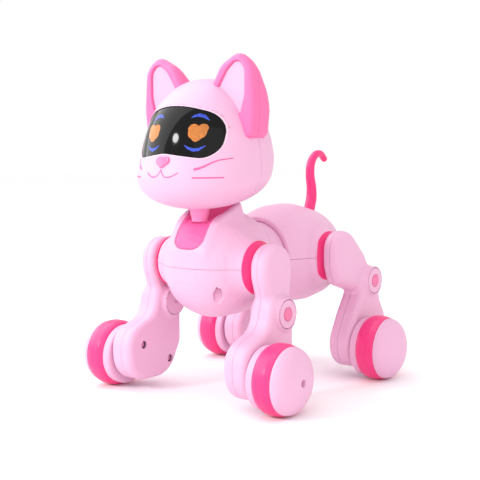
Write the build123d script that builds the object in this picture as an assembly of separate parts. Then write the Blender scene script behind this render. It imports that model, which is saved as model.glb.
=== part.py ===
from build123d import *
import os
from math import sqrt

# A four-wheeled robot cat toy, in millimetres.
# The origin is on the floor under the middle of the toy. +X is the cat's left, -Y is where it looks, +Z is up.

# ---- Driving dimensions ----

# Walls, fits and gaps
WALL = 2.0
RUNNING = 0.08          # radial clearance of a shaft in its hole
TURN_GAP = 0.6          # between faces that turn past each other

# Wheels: places across the toy are distances from its middle plane
AXLE_Z = 26.0
FRONT_AXLE_Y, REAR_AXLE_Y = -76.0, 64.0
TYRE_R, TYRE_INNER_EDGE_R, TYRE_OUTER_EDGE_R = 26.0, 23.8, 24.7
TYRE_SEAT_R = 21.0
RIM_X, TYRE_X, CAP_X, CAP_TOP_X = 66.6, 73.0, 89.0, 101.3
RIM_R, CAP_R = 23.3, 24.6
AXLE_R, AXLE_END_X = 3.0, 50.0
CAP_HOLE_R = 2.2

# Legs: each is a pair of shells that meet on one plane across the toy
LEG_SEAM_X = 54.5
SHIN_X = (45.0, 66.0)
ARM_X = (47.1, 62.5)
FRONT_HIP = (-49.0, 100.5)
REAR_HIP = (48.5, 100.5)
FRONT_KNEE = (-47.0, 67.5)
REAR_KNEE = (80.7, 78.2)
KNEE_R, KNEE_CORE_R, KNEE_X = 12.0, 8.4, (41.5, 68.0)
KNEE_CAP_R, KNEE_BUTTON_R = 7.0, 4.8
LEG_EDGE_R = 4.5
HIP_SHAFT_R, HIP_SHAFT_END_X = 7.0, 26.0
HIP_DISC_R, HIP_DISC_X = 20.7, (41.5, 46.4)

# Body: round about a level line along the toy
BODY_Z = 100.5
CHEST_R, CHEST_NOSE_Y, CHEST_BACK_Y = 41.0, -86.0, 2.4
WAIST_R, WAIST_END_Y = 25.3, 16.0
RUMP_R, RUMP_MOUTH_Y, RUMP_END_Y, RUMP_LIP_R = 41.3, 5.0, 102.5, 33.0
COWL_HALF_WIDTH, COWL_Y, COWL_TOP_Z, COWL_ROUND = 31.0, (-78.0, -8.0), 145.0, 20.0
HIP_PAD_R = 19.5
BIB_HALF_WIDTH, BIB_BOTTOM_Z, BIB_RECESS, BIB_THICK = 12.0, 114.6, 0.8, 1.8
PIT_R, PIT_FLOOR_Z = 18.5, 135.0
BELLY_FLAT_Z = 60.5
DOOR_HALF_WIDTH, DOOR_Y = 15.0, (28.0, 70.0)

# Neck and head
NECK_Y = -66.0
NECK_R, NECK_TOP_Z, NECK_FOOT_Z = 9.5, 149.0, 124.0
NECK_SHAFT_R, NECK_SHAFT_END_Z = 4.0, 108.0
HEAD_BOTTOM_Z, HEAD_WIDE_Z, HEAD_TOP_Z = 144.0, 172.0, 241.4
HEAD_R = 50.8
HEAD_CENTRE_Y, HEAD_LEAN, HEAD_LEAN_TOP_Z = -56.0, 0.32, 181.0
HEAD_SEAM_Y = -56.3
HEAD_WALL = 2.2
VISOR_THICK = 2.0
NOSE_ROUND = 2.9        # the nose is a small triangle swollen by this much
EAR_FRONT_Y, EAR_BACK_Y = -69.5, -42.0
EAR_RECESS, EAR_INSERT_THICK = 2.4, 1.2

# Tail
TAIL_R = 3.6
TAIL_PEG_R, TAIL_Y = 4.4, 82.5
TAIL_PEG_Z = (122.0, 140.0)

# Screws
SCREW_HEAD_R, SCREW_HOLE_R, SCREW_SHANK_R, SCREW_HEAD_LENGTH = 2.1, 2.3, 1.2, 1.8
BOSS_R = 3.6
FRONT_SCREW_SEAT_Z, BELLY_SCREW_SEAT_Z = BODY_Z - 10, BODY_Z - 18

LEGS = {
    "front_left": (1, FRONT_AXLE_Y, FRONT_HIP, FRONT_KNEE),
    "front_right": (-1, FRONT_AXLE_Y, FRONT_HIP, FRONT_KNEE),
    "rear_left": (1, REAR_AXLE_Y, REAR_HIP, REAR_KNEE),
    "rear_right": (-1, REAR_AXLE_Y, REAR_HIP, REAR_KNEE),
}
MIDDLE = Axis((0, 0, BODY_Z), (0, 1, 0))


# ---- Shared shapes ----

def block(x, y, z):
    """A box from three pairs of limits."""
    size = [high - low for low, high in (x, y, z)]
    centre = [(high + low) / 2 for low, high in (x, y, z)]
    return Pos(*centre) * Box(*size)


def rod_x(radius, x, y, z):
    """A round rod across the toy, from x[0] to x[1]."""
    return Pos((x[0] + x[1]) / 2, y, z) * Rot(0, 90, 0) * Cylinder(radius, x[1] - x[0])


def rod_y(radius, x, y, z):
    return Pos(x, (y[0] + y[1]) / 2, z) * Rot(90, 0, 0) * Cylinder(radius, y[1] - y[0])


def rod_z(radius, x, y, z):
    return Pos(x, y, (z[0] + z[1]) / 2) * Cylinder(radius, z[1] - z[0])


def rounded_outline(corners):
    """A flat face from (across, up, radius) corners."""
    points = [(across, up) for across, up, _ in corners]
    return make_face(FilletPolyline(*points, radius=[radius for _, _, radius in corners], close=True))


def side_plate(outline, x, edge=0.0):
    """An outline drawn in the side view, made solid across the toy, with rounded rims."""
    plate = extrude(Plane.YZ.offset(x[0]) * outline, x[1] - x[0])
    if edge:
        rims = plate.faces().sort_by(Axis.X)
        plate = fillet(rims[0].edges() + rims[-1].edges(), edge)
    return plate


def front_plate(outline, y):
    """An outline drawn in the front view, made solid along the toy, from y[0] to y[1]."""
    return extrude(Plane.XZ.offset(-y[0]) * outline, -(y[1] - y[0]))


def on_side(shape, side):
    """The shape as made for the left, or mirrored for the right."""
    return shape if side > 0 else mirror(shape, about=Plane.YZ)


def write(shape, node):
    export_step(shape, f"parts/{node}.step")


# ---- Wheels ----

def wheel_turn(points_and_edges, axle_y):
    """A face drawn as (across the toy, radius), turned about the axle."""
    return Pos(0, axle_y, AXLE_Z) * revolve(points_and_edges, Axis.X)


def wheel_hub(axle_y):
    post_r, bore_r, floor = 5.0, 1.3, 2.4
    outline = Polyline(
        (AXLE_END_X, 0), (AXLE_END_X, AXLE_R), (RIM_X, AXLE_R), (RIM_X, RIM_R), (TYRE_X, RIM_R),
        (TYRE_X, TYRE_SEAT_R), (CAP_X, TYRE_SEAT_R), (CAP_X, TYRE_SEAT_R - WALL),
        (RIM_X + floor, TYRE_SEAT_R - WALL), (RIM_X + floor, post_r), (CAP_X, post_r), (CAP_X, bore_r),
        (RIM_X + floor, bore_r), (RIM_X + floor, 0), close=True,
    )
    hub = wheel_turn(make_face(outline), axle_y)
    inner_rim = [edge for edge in hub.edges().filter_by(GeomType.CIRCLE)
                 if abs(edge.radius - RIM_R) < 0.01 and edge.center().X < TYRE_X - 1]
    return fillet(inner_rim, 1.5)


def tyre(axle_y):
    middle = (TYRE_X + CAP_X) / 2
    outline = (
        Line((TYRE_X, TYRE_SEAT_R), (TYRE_X, TYRE_INNER_EDGE_R))
        + ThreePointArc((TYRE_X, TYRE_INNER_EDGE_R), (middle, TYRE_R), (CAP_X, TYRE_OUTER_EDGE_R))
        + Polyline((CAP_X, TYRE_OUTER_EDGE_R), (CAP_X, TYRE_SEAT_R), (TYRE_X, TYRE_SEAT_R))
    )
    return wheel_turn(make_face(outline), axle_y)


def dome_face(radius, top_x):
    """A quarter of an ellipse: the section of a hub cap from its rim to its top."""
    height = top_x - CAP_X
    quarter = Ellipse(height, radius) & Pos(height, radius) * Rectangle(2 * height, 2 * radius)
    return Pos(CAP_X, 0) * quarter


def wheel_cap(axle_y, with_hole):
    cap = wheel_turn(dome_face(CAP_R, CAP_TOP_X), axle_y) - wheel_turn(
        dome_face(CAP_R - WALL, CAP_TOP_X - WALL), axle_y)
    if with_hole:
        cap -= rod_x(CAP_HOLE_R, (CAP_X, CAP_TOP_X + 1), axle_y, AXLE_Z)
    return cap


# ---- Legs ----

def arm_outline(axle_y):
    """Upper leg in the side view: from the hip to the knee."""
    if axle_y == FRONT_AXLE_Y:
        return rounded_outline([
            (-67.6, 119, 17.6), (-30.6, 119, 17.6), (-31, 92, 30), (-36, 62, 8), (-60, 62, 6),
            (-61.8, 78, 20), (-67.6, 95, 20),
        ])
    return rounded_outline([
        (30.2, 120, 15), (54, 121.5, 20), (76, 101, 15), (92.5, 78, 8), (82, 66, 7), (60, 71, 12),
        (36, 79, 12), (30.2, 94, 12),
    ])


def shin_outline(axle_y):
    """Lower leg and foot in the side view: from the knee to round the axle."""
    if axle_y == FRONT_AXLE_Y:
        return rounded_outline([
            (-62.4, 80, 10), (-36, 80, 10), (-36, 33, 14), (-50, 8, 22), (-97.5, 8, 21.2),
            (-97.5, 46.5, 17), (-68.5, 58, 16),
        ])
    return rounded_outline([
        (68, 86, 8), (91, 84, 8), (94, 62, 16), (104.5, 46, 8), (89, 17, 14), (72, 8, 14),
        (42.5, 8, 19.5), (42.5, 34, 16), (54, 54, 20), (64, 68, 10),
    ])


def leg_form(axle_y, inset=0.0):
    """The whole leg as one solid; with an inset, the hollow inside it."""
    edge = 0.0 if inset else LEG_EDGE_R
    form = None
    for outline, limits in ((arm_outline(axle_y), ARM_X), (shin_outline(axle_y), SHIN_X)):
        if inset:
            outline = offset(outline, -inset)
        plate = side_plate(outline, (limits[0] + inset, limits[1] - inset), edge)
        form = plate if form is None else form + plate
    return form


def foot_screw_places(axle_y):
    """Where the two foot screws go, in the side view."""
    second = (25.2, -5.0) if axle_y == FRONT_AXLE_Y else (24.0, 6.0)
    return [(axle_y + along, AXLE_Z + up) for along, up in ((-5.1, 10.7), second)]


def leg_shells(axle_y, hip, knee):
    """Inner and outer shells of a left leg."""
    knee_core = rod_x(KNEE_CORE_R, (KNEE_X[0] + 4, KNEE_X[1] - 4), *knee)
    outer_skin = leg_form(axle_y) + rod_x(KNEE_R, KNEE_X, *knee)
    shaft = rod_x(HIP_SHAFT_R, (HIP_SHAFT_END_X, ARM_X[0] + 1), *hip)
    wire_way = rod_x(HIP_SHAFT_R - 2.5, (HIP_SHAFT_END_X, ARM_X[0] + WALL + 1), *hip)
    leg = outer_skin - leg_form(axle_y, WALL) - knee_core
    for y, z in foot_screw_places(axle_y):
        leg += rod_x(BOSS_R, (SHIN_X[0] + 1, SHIN_X[1] - 1), y, z)
        leg -= rod_x(SCREW_HOLE_R, (SHIN_X[0] - 1, SHIN_X[0] + 4), y, z)
        leg -= rod_x(SCREW_SHANK_R, (SHIN_X[0], SHIN_X[1] - 4), y, z)
    leg = leg + shaft - wire_way
    leg -= rod_x(AXLE_R + RUNNING, (LEG_SEAM_X, SHIN_X[1] + 1), axle_y, AXLE_Z)
    for x in ((KNEE_X[0] - 1, KNEE_X[0] + 1.5), (KNEE_X[1] - 1.5, KNEE_X[1] + 1)):
        leg -= rod_x(KNEE_CAP_R + 0.25, x, *knee)
    reach = 200.0
    inner = leg & block((0, LEG_SEAM_X), (-reach, reach), (0, reach))
    outer = leg & block((LEG_SEAM_X, reach), (-reach, reach), (0, reach))
    return inner, outer


def knee_caps(knee):
    """The two plugs, inside and outside, that cover the ends of the knee boss."""
    plug = rod_x(KNEE_CAP_R, (KNEE_X[1] - 1.5, KNEE_X[1] + 0.2), *knee)
    plug += rod_x(KNEE_BUTTON_R, (KNEE_X[1], KNEE_X[1] + 0.7), *knee)
    middle = (KNEE_X[0] + KNEE_X[1]) / 2
    return [plug, mirror(plug, about=Plane.YZ.offset(middle))]


def wheel_gearmotor(axle_y):
    gearbox = block((48.5, 62.5), (axle_y - 14, axle_y + 14), (17, 32))
    motor = rod_z(6.0, 55.5, axle_y + 8, (31, 50))
    return gearbox + motor - rod_x(AXLE_R + RUNNING, (AXLE_END_X - TURN_GAP, 70), axle_y, AXLE_Z)


def foot_screws(axle_y):
    screws = []
    for y, z in foot_screw_places(axle_y):
        head = rod_x(SCREW_HEAD_R, (SHIN_X[0] + 4 - SCREW_HEAD_LENGTH, SHIN_X[0] + 4), y, z)
        screws.append(head + rod_x(SCREW_SHANK_R, (SHIN_X[0] + 3, SHIN_X[1] - 5), y, z))
    return screws


def hip_disc(hip):
    disc = rod_x(HIP_DISC_R, HIP_DISC_X, *hip)
    disc = fillet(disc.edges().filter_by(GeomType.CIRCLE), 1.0)
    return disc - rod_x(HIP_SHAFT_R + RUNNING, (40, 48), *hip)


# ---- Body ----

def chest_profile(inset=0.0):
    """Half section of the chest and waist, (along, radius) about the body's middle line."""
    r, nose, front_round = CHEST_R - inset, CHEST_NOSE_Y + inset, 36.0 - inset
    return rounded_outline([
        (nose, 0, 0), (nose, r, front_round), (CHEST_BACK_Y - 12, r, 14), (CHEST_BACK_Y, WAIST_R - inset, 4),
        (WAIST_END_Y + inset, WAIST_R - inset, 0), (WAIST_END_Y + inset, 0, 0),
    ])


def rump_profile(inset=0.0):
    """Half section of the rump, with its front lip standing round the waist."""
    r, end = RUMP_R - inset, RUMP_END_Y - inset
    return rounded_outline([
        (RUMP_MOUTH_Y + inset, 0, 0), (RUMP_MOUTH_Y + inset, RUMP_LIP_R - inset, 2.5), (26, r, 40),
        (end, r, 39 - inset), (end, 0, 0),
    ])


def turned(profile):
    """A half section turned about the body's middle line."""
    return revolve(Plane.YZ * Pos(0, BODY_Z) * profile, MIDDLE)


def cowl_form(inset=0.0):
    """The rounded shoulder block that rises round the neck."""
    half, top = COWL_HALF_WIDTH - inset, COWL_TOP_Z - inset
    front, back = COWL_Y[0] + inset, COWL_Y[1] - inset
    cowl = block((-half, half), (front, back), (BODY_Z - 10, top))
    upright = cowl.edges().filter_by(Axis.Z)
    cowl = fillet(upright, COWL_ROUND - inset)
    return fillet(cowl.faces().sort_by(Axis.Z)[-1].edges(), COWL_ROUND - inset - 1)


def chest_form(inset=0.0):
    return turned(chest_profile(inset)) + cowl_form(inset)


def bib_front(top_z):
    """The upright tongue that the bib covers, from its rounded foot up to top_z."""
    w = BIB_HALF_WIDTH
    front = rounded_outline([(-w, BIB_BOTTOM_Z, 10), (w, BIB_BOTTOM_Z, 10), (w, top_z, 0), (-w, top_z, 0)])
    return front_plate(front, (-100, NECK_Y))


def bib_space():
    """The room that the bib and the neck pit take out of the chest."""
    return bib_front(170) + rod_z(PIT_R, 0, NECK_Y, (PIT_FLOOR_Z - BIB_THICK, 170))


def bib_panel():
    """The bib with the cup that the neck stands in, as one moulding."""
    tongue = bib_front(PIT_FLOOR_Z) + rod_z(PIT_R, 0, NECK_Y, (PIT_FLOOR_Z - BIB_THICK, PIT_FLOOR_Z))
    wall = rod_z(PIT_R, 0, NECK_Y, (PIT_FLOOR_Z - BIB_THICK, 170)) & block((-50, 50), (NECK_Y, 0), (100, 170))
    form = (tongue + wall) & chest_form(BIB_RECESS)
    inside = chest_form(BIB_RECESS + BIB_THICK) & block((-50, 50), (-100, 0), (90, PIT_FLOOR_Z - BIB_THICK))
    cup = rod_z(PIT_R - BIB_THICK, 0, NECK_Y, (PIT_FLOOR_Z, 170))
    return form - inside - cup - rod_z(NECK_R + RUNNING, 0, NECK_Y, (NECK_FOOT_Z, 170))


def hip_pads():
    pads = []
    for hip in (FRONT_HIP, REAR_HIP):
        pads += [rod_x(HIP_PAD_R, (20, HIP_DISC_X[0]), *hip), rod_x(HIP_PAD_R, (-HIP_DISC_X[0], -20), *hip)]
    return pads


def hip_bores():
    reach = HIP_DISC_X[0] + 1
    return [rod_x(HIP_SHAFT_R + RUNNING, (-reach, reach), *hip) for hip in (FRONT_HIP, REAR_HIP)]


def body_screw_places():
    """Where the upright screws go, each with the height of its head's seat."""
    breast = [(side * 24.3, -75.5, FRONT_SCREW_SEAT_Z) for side in (-1, 1)]
    belly = [(side * 24.0, y, BELLY_SCREW_SEAT_Z) for side in (-1, 1) for y in (-22.0, 24.0, 76.0)]
    return breast + belly


def halves(form):
    """Upper and lower halves, parted on the body's seam."""
    reach = 300.0
    upper = form & block((-reach, reach), (-reach, reach), (BODY_Z, reach))
    lower = form & block((-reach, reach), (-reach, reach), (-reach, BODY_Z))
    return upper, lower


def with_screw_bosses(shell, outside, places):
    """The shell with a screw column at each place, from wall to wall inside it."""
    for x, y, seat in places:
        shell += rod_z(BOSS_R, x, y, (BODY_Z - 40, BODY_Z + 40)) & outside
        shell -= rod_z(SCREW_HOLE_R, x, y, (0, seat))
        shell -= rod_z(SCREW_SHANK_R, x, y, (0, BODY_Z + 8))
    return shell


def chest_shells():
    pads = [pad for pad in hip_pads() if pad.center().Y < 0]
    outside = chest_form()
    form = outside + pads - chest_form(WALL)
    form = with_screw_bosses(form, outside, [place for place in body_screw_places() if place[1] < 0])
    form = form - hip_bores() - bib_space() - switch_slot()
    return halves(form)


def rump_shells():
    pads = [pad for pad in hip_pads() if pad.center().Y > 0]
    outside = turned(rump_profile())
    form = outside + pads - turned(rump_profile(WALL))
    form -= rod_y(WAIST_R + 0.2, 0, (0, WAIST_END_Y - 4), BODY_Z)
    form = with_screw_bosses(form, outside, [place for place in body_screw_places() if place[1] > 0])
    socket = rod_z(TAIL_PEG_R + 3, 0, TAIL_Y, (TAIL_PEG_Z[0] + 4, TAIL_PEG_Z[1] - 1))
    form = form + socket - rod_z(TAIL_PEG_R + RUNNING, 0, TAIL_Y, (TAIL_PEG_Z[0], 150))
    form = form - hip_bores() - door_space() - block((-50, 50), (0, 120), (0, BELLY_FLAT_Z))
    return halves(form)


def door_space():
    return block((-DOOR_HALF_WIDTH, DOOR_HALF_WIDTH), DOOR_Y, (50, 64))


def battery_door():
    return turned(rump_profile()) & block(
        (-DOOR_HALF_WIDTH, DOOR_HALF_WIDTH), DOOR_Y, (BELLY_FLAT_Z, 63))


def battery_pack():
    return block((-15, 15), (26, 72), (66, 84))


def switch_slot():
    return block((-2.2, 2.2), (-34, -26), (50, 64))


def power_switch():
    knob = block((-2.0, 2.0), (-33.7, -29.3), (58.6, 62.0))
    return knob + block((-4, 4), (-36, -27), (62.0, 64.5))


def main_board():
    return block((-18, 18), (26, 66), (121, 122.6)) + block((-6, 6), (40, 52), (122.6, 124))


def hip_gearmotors():
    motors = []
    for y, z in (FRONT_HIP, REAR_HIP):
        for x in ((16, 36), (-36, -16)):
            box = block(x, (y - 11, y + 11), (z - 12, z + 11))
            bore_end = HIP_SHAFT_END_X - 1
            bore_x = (bore_end, 40) if x[0] > 0 else (-40, -bore_end)
            motors.append(box - rod_x(HIP_SHAFT_R + RUNNING, bore_x, y, z))
    return motors


def head_gearmotor():
    box = block((-12, 12), (NECK_Y - 10, NECK_Y + 14), (98, 118))
    return box - rod_z(NECK_SHAFT_R + RUNNING, 0, NECK_Y, (NECK_SHAFT_END_Z - TURN_GAP, 120))


# ---- Head ----

def head_circle(z, inset=0.0):
    """Level section of the head: its middle leans forward below the eyes."""
    above = z >= HEAD_WIDE_Z
    height = (HEAD_TOP_Z - HEAD_WIDE_Z if above else HEAD_WIDE_Z - HEAD_BOTTOM_Z) - inset
    share = min(abs(z - HEAD_WIDE_Z) / height, 1.0)
    radius = (HEAD_R - inset) * sqrt(1 - share ** 2)
    centre_y = HEAD_CENTRE_Y - HEAD_LEAN * max(HEAD_LEAN_TOP_Z - z, 0)
    return Pos(0, centre_y, z) * Circle(radius)


def head_form(inset=0.0):
    """The head as one solid, from level circles that close in towards its crown and chin."""
    low, high = HEAD_WIDE_Z - HEAD_BOTTOM_Z - inset, HEAD_TOP_Z - HEAD_WIDE_Z - inset
    shares = (0.995, 0.95, 0.86, 0.7, 0.45)
    heights = [HEAD_WIDE_Z - share * low for share in shares] + [HEAD_WIDE_Z]
    heights += [HEAD_WIDE_Z + share * high for share in reversed(shares)]
    return loft([head_circle(z, inset) for z in heights])


def visor_outline():
    return rounded_outline([
        (-38.9, 212.5, 19), (0, 223.3, 80), (38.9, 212.5, 19), (38.9, 181, 12), (0, 186, 30),
        (-38.9, 181, 12),
    ])


def visor_space():
    return front_plate(visor_outline(), (-130, -70))


def visor():
    return (head_form() - head_form(VISOR_THICK)) & visor_space()


def eye_display():
    """Board behind the visor, with two round eye panels."""
    board = front_plate(rounded_outline([
        (-24, 188, 3), (24, 188, 3), (24, 213, 3), (-24, 213, 3)]), (-82, -80.4))
    for side in (-1, 1):
        board += rod_y(8.5, side * 15, (-84, -82), 201)
    return board


def nose():
    triangle = make_face(Polyline((-3.6, 181), (0, 178.4), (3.6, 181), close=True))
    outline = offset(triangle, NOSE_ROUND)
    raised = front_plate(outline, (-112, -100)) & (Pos(0, -1.2, 0) * head_form())
    return raised - head_form(1.0)


def ear_outline():
    return rounded_outline([
        (11, 231, 0), (22, 250.5, 16), (38.5, 259.5, 9), (51.2, 250, 16), (53.2, 220, 60), (51, 196, 4),
        (40, 196, 0), (30, 222, 0),
    ])


def ear_insert_outline():
    return rounded_outline([
        (20.5, 234, 1), (29, 247.5, 20), (38.3, 254.5, 6), (45.2, 247, 10), (45, 228, 20), (41, 214, 2)])


def ear_shell():
    side_shape = rounded_outline([
        (EAR_FRONT_Y, 190, 0), (EAR_FRONT_Y, 262, 0), (-62, 262, 0), (-57, 250, 12), (-46, 232, 30),
        (EAR_BACK_Y, 218, 14), (EAR_BACK_Y, 190, 0),
    ])
    ear = front_plate(ear_outline(), (EAR_FRONT_Y, EAR_BACK_Y)) & side_plate(side_shape, (0, 70))
    ear -= front_plate(ear_insert_outline(), (EAR_FRONT_Y - 1, EAR_FRONT_Y + EAR_RECESS + EAR_INSERT_THICK))
    return ear - head_form()


def ear_insert():
    face = EAR_FRONT_Y + EAR_RECESS
    plate = front_plate(ear_insert_outline(), (face, face + EAR_INSERT_THICK))
    return plate - head_form()


def head_shells():
    form = head_form() - head_form(HEAD_WALL) - visor_space() - nose()
    form -= rod_z(NECK_R, 0, NECK_Y, (130, NECK_TOP_Z))
    front = form & block((-80, 80), (-150, HEAD_SEAM_Y), (100, 300))
    back = form & block((-80, 80), (HEAD_SEAM_Y, 50), (100, 300))
    return front, back


def neck_post():
    post = rod_z(NECK_R, 0, NECK_Y, (NECK_FOOT_Z, NECK_TOP_Z))
    return post + rod_z(NECK_SHAFT_R, 0, NECK_Y, (NECK_SHAFT_END_Z, NECK_FOOT_Z + 1))


def speaker():
    return rod_y(14.0, 0, (-28, -22), 178) + rod_y(9.0, 0, (-34, -28), 178)


# ---- Tail ----

def tail():
    path = FilletPolyline(
        (0, TAIL_Y, 139), (0, 87.3, 155), (0, 82.8, 172), (0, 93, 188.3), (0, 106.6, 180.8),
        radius=[22, 16, 8])
    section = Plane(path @ 0, z_dir=path % 0) * Circle(TAIL_R)
    stem = sweep(section, path)
    tip = Pos(*(path @ 1)) * Sphere(TAIL_R)
    peg = rod_z(TAIL_PEG_R, 0, TAIL_Y, TAIL_PEG_Z)
    return stem + tip + peg


def body_screws():
    screws = []
    for x, y, seat in body_screw_places():
        head = rod_z(SCREW_HEAD_R, x, y, (seat - SCREW_HEAD_LENGTH, seat))
        screws.append(head + rod_z(SCREW_SHANK_R, x, y, (seat - 0.5, BODY_Z + 7)))
    return screws


# ---- The whole toy ----

def write_leg(name, side, axle_y, hip, knee):
    inner, outer = leg_shells(axle_y, hip, knee)
    is_front = axle_y == FRONT_AXLE_Y
    pieces = {
        "hip_disc": hip_disc(hip),
        "leg_inner_shell": inner,
        "leg_outer_shell": outer,
        "knee_caps": Compound(knee_caps(knee)),
        "wheel_gearmotor": wheel_gearmotor(axle_y),
        "leg_screws": Compound(foot_screws(axle_y)),
        "wheel_hub": wheel_hub(axle_y),
        "tyre": tyre(axle_y),
        "wheel_cap": wheel_cap(axle_y, is_front),
    }
    for piece, shape in pieces.items():
        write(on_side(shape, side), f"{name}_{piece}")


def write_body():
    chest_upper, chest_lower = chest_shells()
    rump_upper, rump_lower = rump_shells()
    pieces = {
        "chest_upper_shell": chest_upper,
        "chest_lower_shell": chest_lower,
        "bib_panel": bib_panel(),
        "rump_upper_shell": rump_upper,
        "rump_lower_shell": rump_lower,
        "battery_door": battery_door(),
        "battery_pack": battery_pack(),
        "main_board": main_board(),
        "hip_gearmotors": Compound(hip_gearmotors()),
        "head_gearmotor": head_gearmotor(),
        "power_switch": power_switch(),
        "body_screws": Compound(body_screws()),
        "tail": tail(),
    }
    for node, shape in pieces.items():
        write(shape, node)


def write_head():
    front, back = head_shells()
    pieces = {
        "head_front_shell": front,
        "head_back_shell": back,
        "visor": visor(),
        "eye_display": eye_display(),
        "nose": nose(),
        "neck_post": neck_post(),
        "speaker": speaker(),
    }
    for side, side_name in ((1, "left"), (-1, "right")):
        pieces[f"{side_name}_ear_shell"] = on_side(ear_shell(), side)
        pieces[f"{side_name}_ear_insert"] = on_side(ear_insert(), side)
    for node, shape in pieces.items():
        write(shape, node)


os.makedirs("parts", exist_ok=True)
for leg, (side, axle_y, hip, knee) in LEGS.items():
    write_leg(leg, side, axle_y, hip, knee)
write_body()
write_head()
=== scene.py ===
"""Looks of the robot cat toy: smooth shells, face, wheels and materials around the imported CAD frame."""
import bmesh
import bpy
import numpy as np
from math import radians, sin, cos, pi
from mathutils import Matrix, Vector


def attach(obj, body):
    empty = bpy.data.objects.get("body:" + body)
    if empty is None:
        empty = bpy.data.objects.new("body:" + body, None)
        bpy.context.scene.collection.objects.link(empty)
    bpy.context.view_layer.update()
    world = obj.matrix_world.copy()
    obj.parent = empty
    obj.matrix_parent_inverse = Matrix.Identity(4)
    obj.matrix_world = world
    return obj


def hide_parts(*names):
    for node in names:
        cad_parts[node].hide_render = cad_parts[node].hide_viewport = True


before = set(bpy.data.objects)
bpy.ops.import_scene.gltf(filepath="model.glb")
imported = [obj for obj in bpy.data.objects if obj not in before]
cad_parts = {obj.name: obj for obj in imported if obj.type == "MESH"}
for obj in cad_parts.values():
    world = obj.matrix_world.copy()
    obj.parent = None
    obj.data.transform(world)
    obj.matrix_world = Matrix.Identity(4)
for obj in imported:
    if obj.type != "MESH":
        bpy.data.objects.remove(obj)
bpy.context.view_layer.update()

MM = 0.001
LEGS = ("front_left", "front_right", "rear_left", "rear_right")


# ---------------------------------------------------------------------------------------------------
# Shape tools. A shape is a function that takes points (in millimetres) and gives their signed
# distance from its surface, negative inside. surface() turns one into a smooth mesh.
# ---------------------------------------------------------------------------------------------------

def joined(a, b, r):
    """Both shapes, with a round fillet of radius r where they meet."""
    return np.maximum(r, np.minimum(a, b)) - np.hypot(np.maximum(r - a, 0), np.maximum(r - b, 0))


def common(a, b, r):
    """What both shapes cover, with edges rounded to radius r."""
    return np.minimum(-r, np.maximum(a, b)) + np.hypot(np.maximum(r + a, 0), np.maximum(r + b, 0))


def without(a, b, r):
    """The first shape with the second cut out, edges rounded to radius r."""
    return common(a, -b, r)


def hollow(a, wall, r=0.4):
    return common(a, -(a + wall), r)


def between(value, low, high):
    return np.abs(value - (low + high) / 2) - (high - low) / 2


def rod(p, axis, centre, radius, low, high, r=0.0):
    """A round rod along axis 0, 1 or 2, with its rims rounded to radius r."""
    others = [i for i in range(3) if i != axis]
    side = np.hypot(p[:, others[0]] - centre[0], p[:, others[1]] - centre[1]) - radius
    return common(side, between(p[:, axis], low, high), r)


def stroke(u, v, line):
    """Flat distance to a line of (across, up, half width) points, with round ends and an even taper."""
    best = np.full(len(u), 1e9)
    for (u0, v0, r0), (u1, v1, r1) in zip(line, line[1:]):
        along_u, along_v = u1 - u0, v1 - v0
        share = ((u - u0) * along_u + (v - v0) * along_v) / (along_u ** 2 + along_v ** 2)
        share = np.clip(share, 0, 1)
        away = np.hypot(u - u0 - share * along_u, v - v0 - share * along_v)
        best = np.minimum(best, away - r0 - share * (r1 - r0))
    return best


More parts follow.
